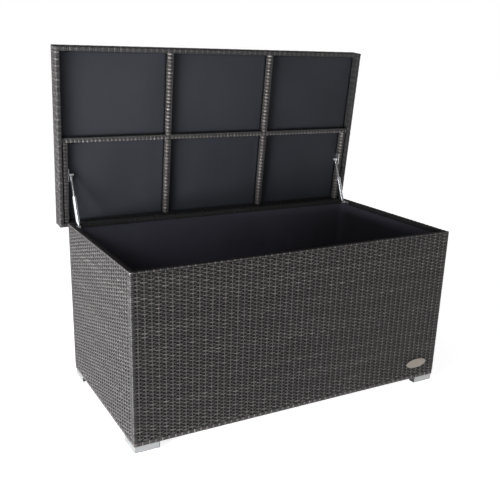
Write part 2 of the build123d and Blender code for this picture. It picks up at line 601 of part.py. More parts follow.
# ---- Gas struts: the sleeve, its eye and its guide, then the rod with its eye and bolt ----
BORE = CYLINDER_R - CYLINDER_WALL
BOLT_END = RIB_FACE - PLATE_T - 0.9
for side, sign in (("left", -1), ("right", 1)):
    foot = Vector(sign * STRUT_X, *FOOT_PIVOT)
    eye = Vector(sign * STRUT_X, *EYE_PIVOT)

    with BuildPart() as cylinder:
        rod(foot + STRUT_DIR * 18, STRUT_DIR, CYLINDER_R, CYLINDER_END - 18, bore=BORE)
        ends = cylinder.edges().filter_by(GeomType.CIRCLE).sort_by(Axis.Z)
        rim = [e for e in (ends[0], ends[1]) if e.radius > BORE + 0.5]
        chamfer(rim, 0.9)
    keep(cylinder, f"strut_{side}_cylinder")

    with BuildPart() as base_eye:
        rod(foot + STRUT_DIR * 6.6, STRUT_DIR, 4.4, 8.4)
        rod(foot + STRUT_DIR * 14.5, STRUT_DIR, 6.0, 3.5)
        rod(foot + STRUT_DIR * 18.0, STRUT_DIR, BORE - FIT, 4.0)
        rod(foot - Vector(EYE_T / 2, 0, 0), (1, 0, 0), 7.0, EYE_T)
        rod(foot - Vector(8, 0, 0), (1, 0, 0), STUD_R + FIT, 16, mode=Mode.SUBTRACT)
    keep(base_eye, f"strut_{side}_base_eye")

    with BuildPart() as guide:
        rod(foot + STRUT_DIR * (CYLINDER_END - 10), STRUT_DIR, BORE, 10, bore=ROD_R + FIT)
        rod(foot + STRUT_DIR * CYLINDER_END, STRUT_DIR, CYLINDER_R - 1.0, 1.6, bore=ROD_R + FIT)
    keep(guide, f"strut_{side}_guide")

    with BuildPart() as piston_rod:
        rod(foot + STRUT_DIR * (CYLINDER_END - 20), STRUT_DIR, BORE - 0.1, 9.6)
        rod(foot + STRUT_DIR * (CYLINDER_END - 10.4), STRUT_DIR, ROD_R, STRUT_LEN - CYLINDER_END - 1.6)
    keep(piston_rod, f"strut_{side}_rod")

    with BuildPart() as lid_eye:
        rod(eye - STRUT_DIR * 17, STRUT_DIR, 4.8, 5.0, bore=ROD_R + FIT)
        rod(eye - STRUT_DIR * 12, STRUT_DIR, 4.8, 6.5)
        rod(eye - Vector(EYE_T / 2, 0, 0), (1, 0, 0), 6.6, EYE_T)
    keep(lid_eye, f"strut_{side}_lid_eye")

    with BuildPart() as bolt:
        rod(eye + Vector(sign * EYE_T / 2, 0, 0), (sign, 0, 0), 5.0, BOLT_END - STRUT_X - EYE_T / 2)
        rod(eye - Vector(sign * EYE_T / 2, 0, 0), (-sign, 0, 0), 3.0, 8.0)
        nut = eye - Vector(sign * (EYE_T / 2 + 3.0), 0, 0)
        with BuildSketch(Plane(origin=nut, z_dir=(-sign, 0, 0))):
            RegularPolygon(5.2, 6)
        extrude(amount=4.0)
    keep(bolt, f"strut_{side}_bolt")

box = Compound(children=made).bounding_box()
print("nodes", len(made))
print("box", box.min, box.max)
closed_dy = LID_BACK + STRUT_V - STRUT_Y
closed_dz = LID_GAP + STRUT_W + STRUT_DROP
swing = math.atan2(closed_dz, closed_dy) - math.atan2(STRUT_DIR.Z, STRUT_DIR.Y)
print("strut open", STRUT_LEN, "closed", math.hypot(closed_dy, closed_dz), "swing", math.degrees(swing))
print("hinge axis", HINGE_AXIS, "foot pivot", FOOT_PIVOT, "strut direction", STRUT_DIR, "body y", BODY_Y)
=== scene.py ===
import math

import bpy
import numpy as np
from mathutils import Matrix, Vector


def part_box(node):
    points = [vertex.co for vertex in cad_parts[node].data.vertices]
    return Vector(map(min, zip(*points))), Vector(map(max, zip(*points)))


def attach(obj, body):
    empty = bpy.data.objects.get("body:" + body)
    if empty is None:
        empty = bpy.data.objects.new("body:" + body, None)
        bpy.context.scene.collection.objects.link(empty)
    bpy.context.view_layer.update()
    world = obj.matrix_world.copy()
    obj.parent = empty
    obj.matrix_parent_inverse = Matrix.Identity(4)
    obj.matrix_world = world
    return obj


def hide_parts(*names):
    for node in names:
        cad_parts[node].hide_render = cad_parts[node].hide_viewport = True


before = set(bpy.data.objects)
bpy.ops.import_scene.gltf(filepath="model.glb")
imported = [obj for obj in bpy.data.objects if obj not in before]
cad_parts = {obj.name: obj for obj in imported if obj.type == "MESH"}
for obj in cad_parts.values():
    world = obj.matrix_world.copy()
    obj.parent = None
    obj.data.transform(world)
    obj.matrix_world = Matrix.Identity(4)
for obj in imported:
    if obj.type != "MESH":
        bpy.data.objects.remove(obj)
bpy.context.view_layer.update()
rng = np.random.default_rng(7)

# ---- Places taken from the frame, in metres ----
weave_low = np.array(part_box("front_weave")[0])
rim_low, rim_high = (np.array(p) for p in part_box("top_rim_wrap"))
rail_low = np.array(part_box("bottom_rail_wrap")[0])
SIDE = float(rim_high[0])
FRONT = float(rim_low[1])
BACK = float(rim_high[1])
TOP = float(rim_high[2])
BASE = float(rail_low[2])
WEAVE_LOW = float(weave_low[2])
MID_Y = (FRONT + BACK) / 2
HALF_D = (BACK - FRONT) / 2
WALL = 0.0207
FLANGE = 0.018

# The lid's plane: u along X, v towards the hinge edge, w from the underside to the top.
OPEN = math.radians(84.5)
LID_HALF = 0.670
LID_D = 0.672
LID_T = 0.058
LID_IN = 0.017
LID_GAP = 0.0003
LID_LIFT = 0.001
HINGE_OUT = 0.0055
HINGE_DROP = 0.036
HINGE = Vector((0, BACK + HINGE_OUT, TOP - HINGE_DROP))
LID_V = Vector((0, math.cos(OPEN), -math.sin(OPEN)))
LID_W = Vector((0, math.sin(OPEN), math.cos(OPEN)))
LID_O = HINGE + LID_V * (LID_GAP - HINGE_OUT) + LID_W * (LID_LIFT + HINGE_DROP)
LID_AXES = np.array([[1, 0, 0], LID_V, LID_W], float)
RIB_LOW = 0.010
FABRIC = 0.0363
RIB_X = 0.2215
CROSS_V = -0.336
SHORT_X = 0.639
HALF_RIB = 0.010


def lid(points):
    """Points given as u, v, w in the lid's plane, in the row frame."""
    return np.array(LID_O) + np.asarray(points, float) @ LID_AXES


# ---- Mesh building ----
def mesh_object(name, verts, quads, materials, strand=None, material_of=None):
    """A smooth object from vertices and quads, with an optional four-value strand attribute."""
    mesh = bpy.data.meshes.new(name)
    mesh.vertices.add(len(verts))
    mesh.vertices.foreach_set("co", np.asarray(verts, np.float32).ravel())
    mesh.loops.add(len(quads) * 4)
    mesh.loops.foreach_set("vertex_index", np.asarray(quads, np.int32).ravel())
    mesh.polygons.add(len(quads))
    mesh.polygons.foreach_set("loop_start", np.arange(0, len(quads) * 4, 4, dtype=np.int32))
    mesh.polygons.foreach_set("use_smooth", np.full(len(quads), True))
    for material in materials:
        mesh.materials.append(material)
    if material_of is not None:
        mesh.polygons.foreach_set("material_index", np.asarray(material_of, np.int32))
    if strand is not None:
        values = mesh.attributes.new("strand", "FLOAT_COLOR", "POINT")
        values.data.foreach_set("color", np.asarray(strand, np.float32).ravel())
    mesh.update(calc_edges=True)
    mesh.validate()
    obj = bpy.data.objects.new(name, mesh)
    bpy.context.scene.collection.objects.link(obj)
    return obj


class Strands:
    """Collects ribbons of strand and makes one mesh of them."""

    def __init__(self):
        self.verts, self.quads, self.data, self.material, self.count = [], [], [], [], 0

    def add(self, centre, normal, across, width, crown, tone=None,
            profile=(-1, -0.45, 0.45, 1), crest=1.0):
        """centre, normal and across are (ribbons, points, 3). Each ribbon gets a tone of its own.

        crest is 1 where the strand stands proud and 0 where it dives; wound strands take it from their
        outline. Where it is low it paints shade into the colour, where it is high it paints a highlight, and
        it also sets the gloss.
        """
        n, m, _ = centre.shape
        t = np.array(profile, float)
        cross = len(t)
        width = np.broadcast_to(np.asarray(width, float), (n, m))[..., None, None]
        v = centre[:, :, None] + across[:, :, None] * (width / 2 * t[:, None])
        v = v - normal[:, :, None] * (crown * t**2)[:, None]
        step = np.linalg.norm(np.diff(centre, axis=1), axis=2)
        along = np.concatenate([np.zeros((n, 1)), np.cumsum(step, axis=1)], axis=1)
        tone = rng.random(n) if tone is None else np.asarray(tone, float)
        other = rng.random(n)
        data = np.empty((n, m, cross, 4))
        data[..., 0] = tone[:, None, None]
        data[..., 1] = (along + other[:, None] * 3)[:, :, None]
        data[..., 2] = (t * 0.5 + 0.5)[None, None]
        data[..., 3] = np.broadcast_to(np.asarray(crest, float), (n, m))[:, :, None]
        i, j, k = np.meshgrid(np.arange(n), np.arange(m - 1), np.arange(cross - 1), indexing="ij")
        a = (i * m + j) * cross + k
        q = np.stack([a, a + cross, a + cross + 1, a + 1], -1).reshape(-1, 4)
        self.verts.append(v.reshape(-1, 3))
        self.quads.append(q + self.count)
        self.material.append(np.zeros(len(q), int))
        self.data.append(data.reshape(-1, 4))
        self.count += n * m * cross

    def plate(self, corners):
        """A near-black sheet between four corners: painted shade that shows through the gaps of the weave.
        """
        self.verts.append(np.asarray(corners, float))
        self.quads.append(np.array([[0, 1, 2, 3]]) + self.count)
        self.material.append(np.ones(1, int))
        self.data.append(np.zeros((4, 4)))
        self.count += 4

    def build(self, name, place=None):
        verts = np.concatenate(self.verts)
        if place is not None:
            verts = place(verts)
        return mesh_object(name, verts, np.concatenate(self.quads), (WICKER, GAP),
                           np.concatenate(self.data), np.concatenate(self.material))


def smooth_step(x, a, b):
    t = np.clip((x - a) / (b - a), 0, 1)
    return t * t * (3 - 2 * t)


# Plain weave: strands run over one stake and under the next
STAKE_PITCH = 0.0235
ROW = 0.00652
STRAND_W = 0.0062
CROWN = 0.0012
OVER, UNDER, STAKE = 0.0001, 0.0035, 0.0016
STAKE_W = 0.0056
BACKING = 0.0039
CORNER_R = 0.005
SAMPLES = 5


def face_path(half_x, half_y, face):
    """Path along one face of a rounded box: plan points, normals, stake phase and distance to the corner.

    Front and back take the rounded corners with them.
    """
    long_face = face in ("front", "back")
    half = half_x if long_face else half_y
    stakes = round(2 * half / STAKE_PITCH)
    flat = np.linspace(-half, half, stakes * SAMPLES + 1)
    flat = flat[np.abs(flat) < half - CORNER_R - 0.001]
    flat = np.concatenate([[-half + CORNER_R], flat, [half - CORNER_R]])
    if long_face:
        turn = np.linspace(0, math.pi / 2, 4)[:-1]
        left = np.stack([-half + CORNER_R - CORNER_R * np.cos(turn),
                         -half_y + CORNER_R - CORNER_R * np.sin(turn)], -1)
        left_n = np.stack([-np.cos(turn), -np.sin(turn)], -1)
        run = np.stack([flat, np.full_like(flat, -half_y)], -1)
        plan = np.concatenate([left, run, (left * (-1, 1))[::-1]])
        flat_n = np.tile([0.0, -1.0], (len(run), 1))
        normal = np.concatenate([left_n, flat_n, (left_n * (-1, 1))[::-1]])
        position = plan[:, 0]
        if face == "back":
            plan, normal = -plan, -normal
    else:
        sign = -1 if face == "left" else 1
        plan = np.stack([np.full_like(flat, sign * half_x), flat], -1)
        normal = np.tile([float(sign), 0.0], (len(flat), 1))
        position = flat
    phase = (position + half) / (2 * half) * stakes
    return plan, normal, phase, half - np.abs(position), stakes, half


def lift3(plan):
    return np.concatenate([plan, np.zeros((len(plan), 1))], axis=1)


def woven_band(strands, half_x, half_y, face, low, high, tones, depth=1.0, post=(0.017, 0.026)):
    """Rows of strand woven round upright stakes on one face of a box centred on the origin."""
    plan, plan_normal, phase, edge, stakes, half = face_path(half_x, half_y, face)
    long_face = face in ("front", "back")
    post = post[0] if long_face else post[1]
    rows = max(1, round((high - low) / ROW))
    pitch = (high - low) / rows
    row = np.arange(rows)[:, None]
    wave = np.cos(np.pi * (phase[None] + row))
    held = 1 - smooth_step(edge, post - 0.007, post)[None]
    wave = wave * (1 - held) + held
    inward = (OVER + (UNDER - OVER) * (1 - wave) / 2) * depth + np.abs(rng.normal(0, 0.00010, (rows, 1)))
    wobble = 0.00025 * np.sin(phase[None] * 0.9 + rng.random((rows, 1)) * 6.3)
    z = low + (row + 0.5) * pitch + wobble
    normal = np.broadcast_to(lift3(plan_normal)[None], (rows, len(plan), 3))
    centre = np.broadcast_to(lift3(plan)[None], normal.shape).copy()
    centre[..., 2] = z
    centre = centre - normal * inward[..., None]
    up = np.zeros_like(centre)
    up[..., 2] = 1
    # Painted shade and highlight: the crest value darkens each strand where it dives and lightens it where
    # it stands proud. It is 35% lower, so darker, where the strands are held at the corner posts.
    crest = ((wave + 1) / 2) ** 0.75 * (1 - 0.35 * held)
    width = STRAND_W / ROW * pitch * (0.85 + 0.15 * wave)
    strands.add(centre, normal, up, width, CROWN, tones[:rows], crest=crest)
    at = -half + np.arange(1, stakes) * 2 * half / stakes
    at = at[half - np.abs(at) > post - 0.004]
    zs = np.linspace(low, high, 3)
    sign = -1 if face in ("front", "left") else 1
    along, out = ((1.0, 0, 0), (0, sign, 0)) if long_face else ((0, 1.0, 0), (sign, 0, 0))
    surface = (half_y if long_face else half_x) - STAKE * depth
    along, out = np.array(along), np.array(out, float)
    centre = at[:, None, None] * along + surface * out + zs[None, :, None] * np.array((0, 0, 1.0))
    strands.add(centre, np.broadcast_to(out, centre.shape), np.broadcast_to(along, centre.shape),
                STAKE_W, CROWN * 0.6, 0.22 + 0.1 * rng.random(len(at)))
    deep = BACKING * depth
    wall = out * ((half_y if long_face else half_x) - deep)
    reach = along * (half - deep)
    strands.plate([wall - reach + (0, 0, low), wall + reach + (0, 0, low),
                   wall + reach + (0, 0, high), wall - reach + (0, 0, high)])


def rounded(points, radius, side, steps=4):
    """An open outline with its inner corners rounded, and its normals on the chosen side.

    Each point is two coordinates and the painted light there: low values paint shade into the strand's
    colour, high values paint a highlight, and the same values set the gloss.
    """
    pts = [np.array(p, float) for p in points]
    out = [pts[0]]
    for a, b, c in zip(pts, pts[1:], pts[2:]):
        back = (a - b) / np.linalg.norm((a - b)[:2])
        on = (c - b) / np.linalg.norm((c - b)[:2])
        reach = 0.001 if np.dot(back[:2], on[:2]) < -0.99 else radius
        p0, p1 = b + back * reach, b + on * reach
        for k in range(steps + 1):
            t = k / steps
            out.append((1 - t) ** 2 * p0 + 2 * t * (1 - t) * b + t * t * p1)
    out.append(pts[-1])
    out, painted_light = np.array(out)[:, :2], np.array(out)[:, 2]
    segment = np.diff(out, axis=0)
    segment /= np.linalg.norm(segment, axis=1, keepdims=True)
    tangent = np.concatenate([segment[:1], segment[:-1] + segment[1:], segment[-1:]])
    tangent /= np.linalg.norm(tangent, axis=1, keepdims=True)
    return out, np.stack([-tangent[:, 1], tangent[:, 0]], -1) * side, painted_light


ROUND_PROFILE = (-1, -0.7, 0, 0.7, 1)


def wound(strands, outline, side, start, end, origin, axes, pitch=0.00783, every=3, sink=0.0006,
          crown=0.0012, radius=0.003, cover=0.97, proud_highlight=0.4):
    """Strand wound round a bar: the outline is repeated along the bar from start to end.

    axes holds the directions of the outline's two coordinates and of the bar. Every so many turns
    one stands proud of the others, which are sunk.
    """
    pts, nrm, painted_light = rounded(outline, radius, side)
    e1, e2, e3 = (np.array(a, float) for a in axes)
    count = max(1, round((end - start) / pitch))
    step = (end - start) / count
    at = start + (np.arange(count) + 0.5) * step
    lean = rng.normal(0, 0.00025, count)
    low = np.where(np.arange(count) % every == 0, 0.0, sink) + np.abs(rng.normal(0, 0.0001, count))
    along = at[:, None] + lean[:, None] * np.linspace(-1, 1, len(pts))[None]
    normal = np.broadcast_to((nrm[:, 0, None] * e1 + nrm[:, 1, None] * e2)[None], (count, len(pts), 3))
    centre = np.array(origin, float) + pts[None, :, 0, None] * e1 + pts[None, :, 1, None] * e2
    centre = centre + along[..., None] * e3
    centre = centre - normal * low[:, None, None]
    # Painted highlight: the proud turns get a lighter tone, so the sunk turns between them read as painted
    # shade.
    tone = 0.25 + rng.random(count) * 0.2 + np.where(np.arange(count) % every == 0, proud_highlight, 0.0)
    strands.add(centre, normal, np.broadcast_to(e3, centre.shape), cover * step, crown, tone, ROUND_PROFILE,
                np.broadcast_to(painted_light, (count, len(pts))))


def wound_frame(strands, half_x, half_y, outline, side, depth, pitch=0.00783, every=3, inset=0.0,
                radius=0.003, proud_highlight=0.4):
    """A rectangular frame wound all round, with its corners fanned. Local X and Y, height Z."""
    z = (0, 0, 1)
    start = outline[:2] + [(-CORNER_R, outline[1][1], 0.5)]
    kw = dict(pitch=pitch, every=every, radius=radius, proud_highlight=proud_highlight)
    hx, hy = half_x - inset, half_y - inset
    for s in (-1, 1):
        long_axes, short_axes = ((0, s, 0), z, (1, 0, 0)), ((s, 0, 0), z, (0, 1, 0))
        wound(strands, outline, side, -hx + CORNER_R, hx - CORNER_R, (0, s * hy, 0), long_axes, **kw)
        wound(strands, outline, side, -hy + depth, hy - depth, (s * hx, 0, 0), short_axes, **kw)
        for a, b in ((-hy + CORNER_R, -hy + depth), (hy - depth, hy - CORNER_R)):
            wound(strands, start, side, a, b, (s * hx, 0, 0), short_axes, **kw)
        for t in (-1, 1):
            for angle in (math.pi / 8, 3 * math.pi / 8):
                out = np.array((s * math.cos(angle), t * math.sin(angle), 0))
                along = np.array((-out[1], out[0], 0))
                centre = np.array((s * (hx - CORNER_R), t * (hy - CORNER_R), 0)) + out * CORNER_R
                wide = CORNER_R * math.pi / 8
                wound(strands, start, side, -wide, wide, centre, (out, z, along), pitch=2 * wide, every=1,
                      cover=1.05, radius=min(radius, 0.0045))


# ---- Materials ----
def new_material(name):
    mat = bpy.data.materials.new(name)
    mat.use_nodes = True
    nodes = mat.node_tree.nodes
    return mat, mat.node_tree, nodes["Principled BSDF"]


def ramp(tree, source, stops):
    node = tree.nodes.new("ShaderNodeValToRGB")
    elements = node.color_ramp.elements
    while len(elements) < len(stops):
        elements.new(0.5)
    for e, (pos, colour) in zip(elements, stops):
        e.position = pos
        e.color = (*colour, 1)
    tree.links.new(source, node.inputs[0])
    return node.outputs[0]


def grey_stops(*stops):
    return [(position, (value,) * 3) for position, value in stops]


def math_node(tree, op, a, b=None):
    node = tree.nodes.new("ShaderNodeMath")
    node.operation = op
    for k, v in enumerate((a, b)):
        if v is None:
            continue
        if isinstance(v, (int, float)):
            node.inputs[k].default_value = v
        else:
            tree.links.new(v, node.inputs[k])
    return node.outputs[0]


def noise(tree, vector, scale, detail=2.0, rough=0.5):
    node = tree.nodes.new("ShaderNodeTexNoise")
    node.inputs["Scale"].default_value = scale
    node.inputs["Detail"].default_value = detail
    node.inputs["Roughness"].default_value = rough
    if vector is not None:
        tree.links.new(vector, node.inputs["Vector"])
    return node.outputs[0]


def mix(tree, factor, a, b, blend="MIX"):
    node = tree.nodes.new("ShaderNodeMix")
    node.data_type = "RGBA"
    node.blend_type = blend
    for k, v in ((0, factor), (6, a), (7, b)):
        if isinstance(v, (int, float)):
            node.inputs[k].default_value = v
        elif isinstance(v, tuple):
            node.inputs[k].default_value = (*v, 1)
        else:
            tree.links.new(v, node.inputs[k])
    return node.outputs[2]


def wicker():
    """Mottled flat strand: each has its own tone and streaks along its length."""
    mat, tree, bsdf = new_material("wicker_strand")
    strand = tree.nodes.new("ShaderNodeAttribute")
    strand.attribute_name = "strand"
    split = tree.nodes.new("ShaderNodeSeparateColor")
    tree.links.new(strand.outputs["Color"], split.inputs[0])
    tone, along, across = split.outputs
    join = tree.nodes.new("ShaderNodeCombineXYZ")
    tree.links.new(math_node(tree, "MULTIPLY", along, 9.0), join.inputs[0])
    tree.links.new(math_node(tree, "MULTIPLY", across, 1.6), join.inputs[1])
    tree.links.new(math_node(tree, "MULTIPLY", tone, 41.0), join.inputs[2])
    streak = noise(tree, join.outputs[0], 1.0, 3.0, 0.6)
    mottled = ramp(tree, streak, [
        (0.30, (0.010, 0.0085, 0.0080)),
        (0.46, (0.016, 0.0135, 0.0128)),
        (0.58, (0.024, 0.0210, 0.0200)),
        (0.70, (0.036, 0.0320, 0.0300)),
    ])
    # Tone lightens each strand: it varies at random from strand to strand, and it also carries the painted
    # highlight added to the proud turns of wound strands.
    lighter = ramp(tree, tone, grey_stops((0.0, 0.55), (0.5, 0.85), (1.0, 3.4)))
    colour = mix(tree, 1.0, mottled, lighter, "MULTIPLY")
    # Painted shade and highlight: the crest value darkens strands where they dive or face away from the
    # light, and lightens them where they stand proud or catch it.
    crest = strand.outputs["Alpha"]
    painted_light = ramp(tree, crest, grey_stops((0.0, 0.12), (0.50, 0.55), (0.8, 1.5), (1.0, 2.0)))
    colour = mix(tree, 1.0, colour, painted_light, "MULTIPLY")
    # Painted shade along both edges of every strand, in the gaps between strands.
    off_centre = math_node(tree, "ABSOLUTE", math_node(tree, "SUBTRACT", across, 0.5))
    painted_gap_shade = ramp(tree, off_centre, grey_stops((0.30, 1.0), (0.5, 0.30)))
    colour = mix(tree, 1.0, colour, painted_gap_shade, "MULTIPLY")
    tree.links.new(colour, bsdf.inputs["Base Color"])
    gloss = tree.nodes.new("ShaderNodeMapRange")
    gloss.inputs["To Min"].default_value = 0.95
    gloss.inputs["To Max"].default_value = 0.22
    tree.links.new(crest, gloss.inputs["Value"])
    tree.links.new(gloss.outputs[0], bsdf.inputs["Roughness"])
    bsdf.inputs["Specular IOR Level"].default_value = 0.4
    fine = tree.nodes.new("ShaderNodeCombineXYZ")
    tree.links.new(math_node(tree, "MULTIPLY", along, 30.0), fine.inputs[0])
    tree.links.new(math_node(tree, "MULTIPLY", across, 9.0), fine.inputs[1])
    tree.links.new(math_node(tree, "MULTIPLY", tone, 17.0), fine.inputs[2])
    grain = noise(tree, fine.outputs[0], 1.0, 2.0, 0.5)
    bump = tree.nodes.new("ShaderNodeBump")
    bump.inputs["Strength"].default_value = 0.25
    bump.inputs["Distance"].default_value = 0.0006
    tree.links.new(grain, bump.inputs["Height"])
    tree.links.new(bump.outputs[0], bsdf.inputs["Normal"])
    return mat


def cloth(name, colour, weave_scale=900.0, strength=0.15, rough=0.85, specular=0.15):
    """Plain woven sheet, with a fine thread grid in its bump and a slow drift in its colour."""
    mat, tree, bsdf = new_material(name)
    coords = tree.nodes.new("ShaderNodeTexCoord")
    drift = noise(tree, coords.outputs["Object"], 3.0, 3.0)
    shade = ramp(tree, drift, [(0.3, tuple(c * 0.88 for c in colour)),
                               (0.7, tuple(c * 1.12 for c in colour))])
    tree.links.new(shade, bsdf.inputs["Base Color"])
    bsdf.inputs["Roughness"].default_value = rough
    bsdf.inputs["Specular IOR Level"].default_value = specular
    threads = noise(tree, coords.outputs["Object"], weave_scale, 1.0)
    bump = tree.nodes.new("ShaderNodeBump")
    bump.inputs["Strength"].default_value = strength
    bump.inputs["Distance"].default_value = 0.0004
    tree.links.new(threads, bump.inputs["Height"])
    tree.links.new(bump.outputs[0], bsdf.inputs["Normal"])
    return mat


def metal(name, colour, rough, brushed=None, strength=0.1):
    """Bare metal; brushed gives the noise scales along X, Y and Z."""
    mat, tree, bsdf = new_material(name)
    bsdf.inputs["Base Color"].default_value = (*colour, 1)
    bsdf.inputs["Metallic"].default_value = 1.0
    coords = tree.nodes.new("ShaderNodeTexCoord")
    mapping = tree.nodes.new("ShaderNodeMapping")
    mapping.inputs["Scale"].default_value = brushed or (120, 120, 120)
    tree.links.new(coords.outputs["Object"], mapping.inputs["Vector"])
    grain = noise(tree, mapping.outputs[0], 1.0, 3.0)
    spread = tree.nodes.new("ShaderNodeMapRange")
    spread.inputs["To Min"].default_value = max(0.03, rough - 0.08)
    spread.inputs["To Max"].default_value = rough + 0.10
    tree.links.new(grain, spread.inputs["Value"])
    tree.links.new(spread.outputs[0], bsdf.inputs["Roughness"])
    bump = tree.nodes.new("ShaderNodeBump")
    bump.inputs["Strength"].default_value = strength
    bump.inputs["Distance"].default_value = 0.0003
    tree.links.new(grain, bump.inputs["Height"])
    tree.links.new(bump.outputs[0], bsdf.inputs["Normal"])
    return mat


def coated(name, colour, rough=0.4):
    """Paint or moulded plastic with a faint orange-peel surface."""
    mat, tree, bsdf = new_material(name)
    bsdf.inputs["Base Color"].default_value = (*colour, 1)
    bsdf.inputs["Roughness"].default_value = rough
    coords = tree.nodes.new("ShaderNodeTexCoord")
    peel = noise(tree, coords.outputs["Object"], 400.0, 2.0)
    bump = tree.nodes.new("ShaderNodeBump")
    bump.inputs["Strength"].default_value = 0.08
    bump.inputs["Distance"].default_value = 0.0004
    tree.links.new(peel, bump.inputs["Height"])
    tree.links.new(bump.outputs[0], bsdf.inputs["Normal"])
    return mat


WICKER = wicker()
# Near-black sheet behind the weave: painted shade seen through the gaps between strands.
GAP = coated("gap_shade_sheet", (0.003, 0.003, 0.003), 0.9)
GAP.node_tree.nodes["Principled BSDF"].inputs["Specular IOR Level"].default_value = 0.1
LINER = cloth("liner_fabric", (0.046, 0.043, 0.055))
LID_CLOTH = cloth("lid_fabric_cloth", (0.0165, 0.0167, 0.0200))
PAINT = coated("frame_powder_coat", (0.020, 0.019, 0.018), 0.45)
PLASTIC = coated("black_moulding", (0.012, 0.012, 0.012), 0.35)
POLISHED = metal("polished_sleeve", (0.86, 0.86, 0.87), 0.18)
CHROME = metal("chromed_rod", (0.90, 0.90, 0.91), 0.08)
PLATE = metal("bright_plate", (0.66, 0.66, 0.67), 0.30)
ZINC = metal("zinc_screw", (0.60, 0.60, 0.60), 0.32)
BRUSHED = metal("brushed_aluminium", (0.36, 0.36, 0.36), 0.36, (18, 18, 900), 0.25)
BADGE = metal("satin_badge", (0.245, 0.22, 0.195), 0.24, (60, 900, 900), 0.08)

# The first ending that a node's name has gives its material, and the rest are painted frame.
BY_ENDING = (
    (("corner_feet",), BRUSHED),
    (("badge",), BADGE),
    (("foot_end_caps", "foot_glides", "guide"), PLASTIC),
    (("strut_lower_brackets", "strut_upper_brackets"), PLATE),
    (("screws", "pins", "bolt"), ZINC),
    (("cylinder", "base_eye", "lid_eye"), POLISHED),
    (("_rod",), CHROME),
)
for name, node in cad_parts.items():
    finish = next((material for endings, material in BY_ENDING if name.endswith(endings)), PAINT)
    node.data.materials.clear()
    node.data.materials.append(finish)

# ---- Woven walls ----
BODY_SHIFT = np.array([0, MID_Y, 0])
LID_SHIFT = np.array([0, -LID_D / 2, 0])
RIM_DROP = 0.0065
GROOVE = 0.0012
RAIL_GROOVE = 0.0030
Z_UP = (0, 0, 1)


def on_body(points):
    return points + BODY_SHIFT


def on_lid(points):
    return lid(points + LID_SHIFT)


def finish_wicker(strands, name, node, body, place):
    obj = strands.build(name, place)
    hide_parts(node)
    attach(obj, body)


wall_tones = 0.40 + 0.25 * rng.random(200)
for face in ("front", "back", "left", "right"):
    s = Strands()
    woven_band(s, SIDE, HALF_D, face, WEAVE_LOW, TOP - RIM_DROP - GROOVE, wall_tones)
    finish_wicker(s, f"woven_{face}", f"{face}_weave", "base", on_body)

# ---- Wound rim and bottom rail of the body ----
s = Strands()
# The third value of each point is painted light: a highlight at the outer top corner, painted shade across
# the top, and darkest down the inner face.
rim = [(0.0, TOP - RIM_DROP, 0.6), (0.0, TOP, 1.0), (-WALL / 2, TOP, 0.35), (-WALL, TOP, 0.35),
       (-WALL, TOP - FLANGE, 0.05)]
wound_frame(s, SIDE, HALF_D, rim, -1, WALL)
finish_wicker(s, "wound_rim", "top_rim_wrap", "base", on_body)

s = Strands()
rail_top = WEAVE_LOW - RAIL_GROOVE
# The third value paints the underside of the rail darker, as painted shade.
bottom = [(0.0, rail_top, 0.8), (0.0, BASE, 0.9), (-WALL, BASE, 0.2)]
wound_frame(s, SIDE, HALF_D, bottom, 1, WALL, inset=0.001, proud_highlight=0.6)
finish_wicker(s, "wound_bottom_rail", "bottom_rail_wrap", "base", on_body)

# ---- Lid: woven top and edges ----
EDGE_LOW = 0.0075
TOP_ROUND = 0.004
s = Strands()
edge_tones = 0.40 + 0.25 * rng.random(20)
for face in ("front", "back", "left", "right"):
    woven_band(s, LID_HALF, LID_D / 2, face, EDGE_LOW, LID_T - TOP_ROUND, edge_tones, 0.75, (0.012, 0.012))
finish_wicker(s, "lid_woven_edges", "lid_edge_weave", "lid", on_lid)

s = Strands()
rows = round(LID_D / ROW)
pitch = LID_D / rows
stakes = round(2 * LID_HALF / STAKE_PITCH)
u = np.linspace(-LID_HALF, LID_HALF, stakes * SAMPLES + 1)
row = np.arange(rows)[:, None]
wave = np.cos(np.pi * ((u + LID_HALF)[None] / (2 * LID_HALF) * stakes + row))
edge = LID_HALF - np.abs(u)
held = 1 - smooth_step(edge, 0.010, 0.016)[None]
wave = wave * (1 - held) + held
v = (row + 0.5) * pitch - LID_D / 2
to_side = np.maximum(0, TOP_ROUND - edge)[None]
to_end = np.maximum(0, TOP_ROUND - (LID_D / 2 - np.abs(v)))
w = LID_T - (OVER + (UNDER - OVER) * (1 - wave) / 2) - (to_side**2 + to_end**2) / (2 * TOP_ROUND)
centre = np.stack(np.broadcast_arrays(u[None], v, w), -1)
# The crest value paints shade into the strands where they dive and a highlight where they stand proud.
s.add(centre, np.broadcast_to((0.0, 0, 1), centre.shape), np.broadcast_to((0.0, 1, 0), centre.shape),
      STRAND_W / ROW * pitch, CROWN, 0.40 + 0.25 * rng.random(rows), crest=(wave + 1) / 2)
at = -LID_HALF + np.arange(1, stakes) * 2 * LID_HALF / stakes
vs = np.linspace(-LID_D / 2 + 0.002, LID_D / 2 - 0.002, 3)
centre = np.stack(np.broadcast_arrays(at[:, None], vs[None], LID_T - STAKE), -1)
s.add(centre, np.broadcast_to((0.0, 0, 1), centre.shape), np.broadcast_to((1.0, 0, 0), centre.shape),
      STAKE_W, CROWN * 0.6)
a, b, deep = LID_HALF - 0.003, LID_D / 2 - 0.003, LID_T - BACKING
s.plate([(-a, -b, deep), (a, -b, deep), (a, b, deep), (-a, b, deep)])
finish_wicker(s, "lid_woven_top", "lid_top_weave", "lid", on_lid)

# ---- Lid: wound rim and ribs ----
s = Strands()
